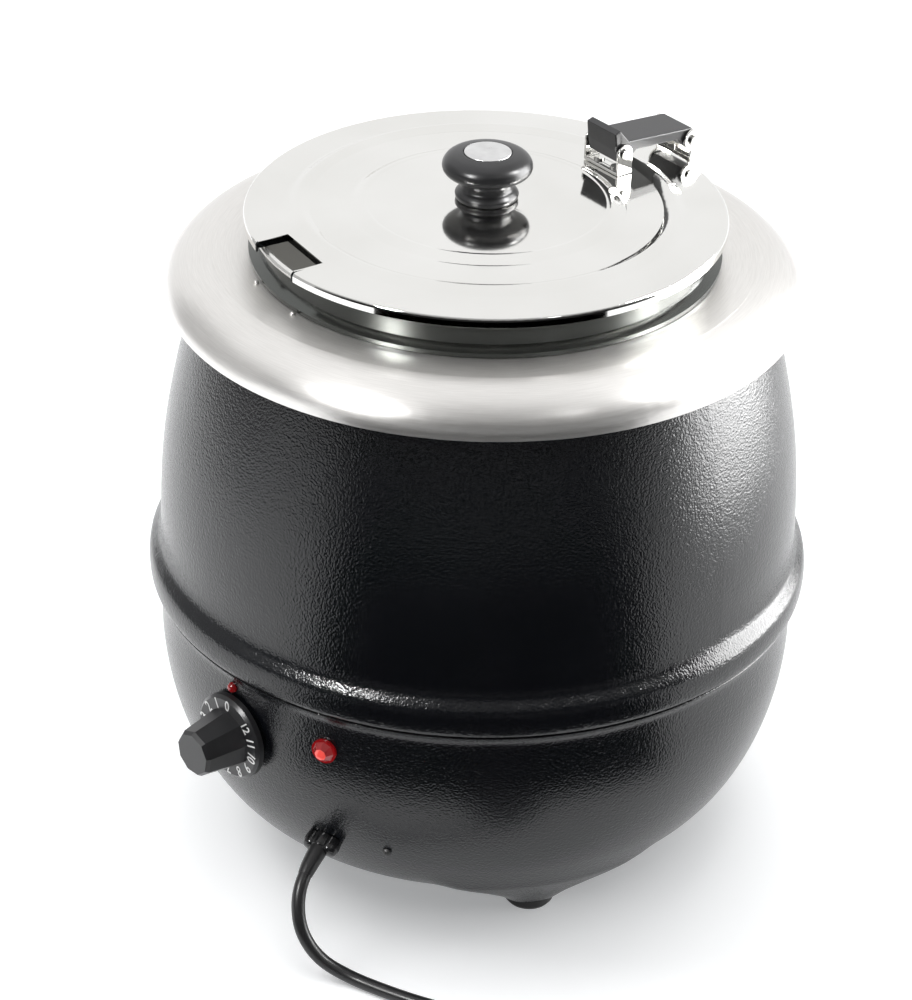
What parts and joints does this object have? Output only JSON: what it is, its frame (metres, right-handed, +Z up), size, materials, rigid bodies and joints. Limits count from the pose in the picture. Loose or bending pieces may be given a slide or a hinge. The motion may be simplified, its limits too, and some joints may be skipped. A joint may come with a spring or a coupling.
{
  "type": "soup kettle",
  "caption": "Round electric wet-well soup kettle with black casing, steel collar, lift-out pot, hinged lid with ladle notch, control dial and mains lead.",
  "frame": {"origin": "on the kettle's axis, in the plane that its feet stand on", "axes": "+Z up along the kettle's axis, -Y to the front, where the dial is, +X to the kettle's own left, the viewer's right"},
  "size_m": [0.4647, 0.4647, 0.3811],
  "materials": {
    "black_coat": "gloss black powder coat with a fine hammered texture",
    "brushed_stainless": "stainless steel brushed round the axis",
    "pot_stainless": "satin stainless steel, polished at the rim",
    "polished_stainless": "mirror polished stainless steel",
    "element_sheath": "heat-darkened steel sheath",
    "zinc_steel": "zinc plated steel",
    "grey_plastic": "heat resistant moulding",
    "copper_bulb": "drawn copper",
    "red_plastic": "clear red moulding",
    "white_ceramic": "unglazed white steatite",
    "black_plastic": "black thermoset moulding, satin",
    "brushed_disc": "spun aluminium with a brushed face",
    "foot_rubber": "black rubber",
    "lead_rubber": "black rubber sheath, slightly satin",
    "pin_brass": "nickel plated brass"
  },
  "bodies": {
    "kettle": {"upper_shell": "black_coat", "lower_shell": "black_coat", "collar": "brushed_stainless", "collar_nubs": "brushed_stainless", "water_well": "brushed_stainless", "heating_element": "element_sheath", "element_clamp": "zinc_steel", "clamp_studs": "zinc_steel", "clamp_nuts": "zinc_steel", "tie_rods": "zinc_steel", "tie_nuts": "zinc_steel", "base_plate": "zinc_steel", "base_screws": "zinc_steel", "rubber_feet": "foot_rubber", "foot_screws": "zinc_steel", "foot_nuts": "zinc_steel", "thermostat": "grey_plastic", "sensor_bulb": "copper_bulb", "lamp_lens": "red_plastic", "lamp_body": "grey_plastic", "lamp_nut": "zinc_steel", "dial_marker": "red_plastic", "terminal_block": "white_ceramic", "cord_gland": "black_plastic", "cord_clamp": "grey_plastic", "earth_screw": "zinc_steel", "power_cord": "lead_rubber", "cord_coil": "lead_rubber", "cord_tail": "lead_rubber", "plug_body": "lead_rubber", "plug_pins": "pin_brass"},
    "pot": {"inner_pot": "pot_stainless", "hinge_clip": "polished_stainless", "clip_rivets": "polished_stainless"},
    "hinge_arm": {"hinge_arm": "black_plastic", "front_pin": "polished_stainless", "rear_pin": "polished_stainless"},
    "lid": {"lid_panel": "polished_stainless", "front_bracket": "polished_stainless", "bracket_rivets": "polished_stainless", "knob": "black_plastic", "knob_disc": "brushed_disc", "knob_screw": "zinc_steel"},
    "dial": {"dial_skirt": "black_plastic", "dial_grip": "black_plastic", "dial_spindle": "zinc_steel"}
  },
  "joints": [
    {"name": "pot_lift", "type": "slide", "parent": "kettle", "child": "pot", "axis": [0, 0, 1], "range_m": [0, 0.3]},
    {"name": "lid_swing", "type": "hinge", "parent": "pot", "child": "hinge_arm", "pos_m": [0.01948, 0.12297, 0.36], "axis": [-0.9877, 0.1564, 0], "range_deg": [0, 95]},
    {"name": "lid_tilt", "type": "hinge", "parent": "hinge_arm", "child": "lid", "pos_m": [0.01228, 0.07753, 0.364], "axis": [-0.9877, 0.1564, 0], "range_deg": [0, 9.6]},
    {"name": "dial_turn", "type": "hinge", "parent": "kettle", "child": "dial", "pos_m": [-0.0089, -0.16977, 0.109], "axis": [0.0523, 0.9986, 0], "range_deg": [0, 312]}
  ],
  "couplings": [
    {"joint": "lid_tilt", "follows": "lid_swing", "ratio": 0.1}
  ]
}
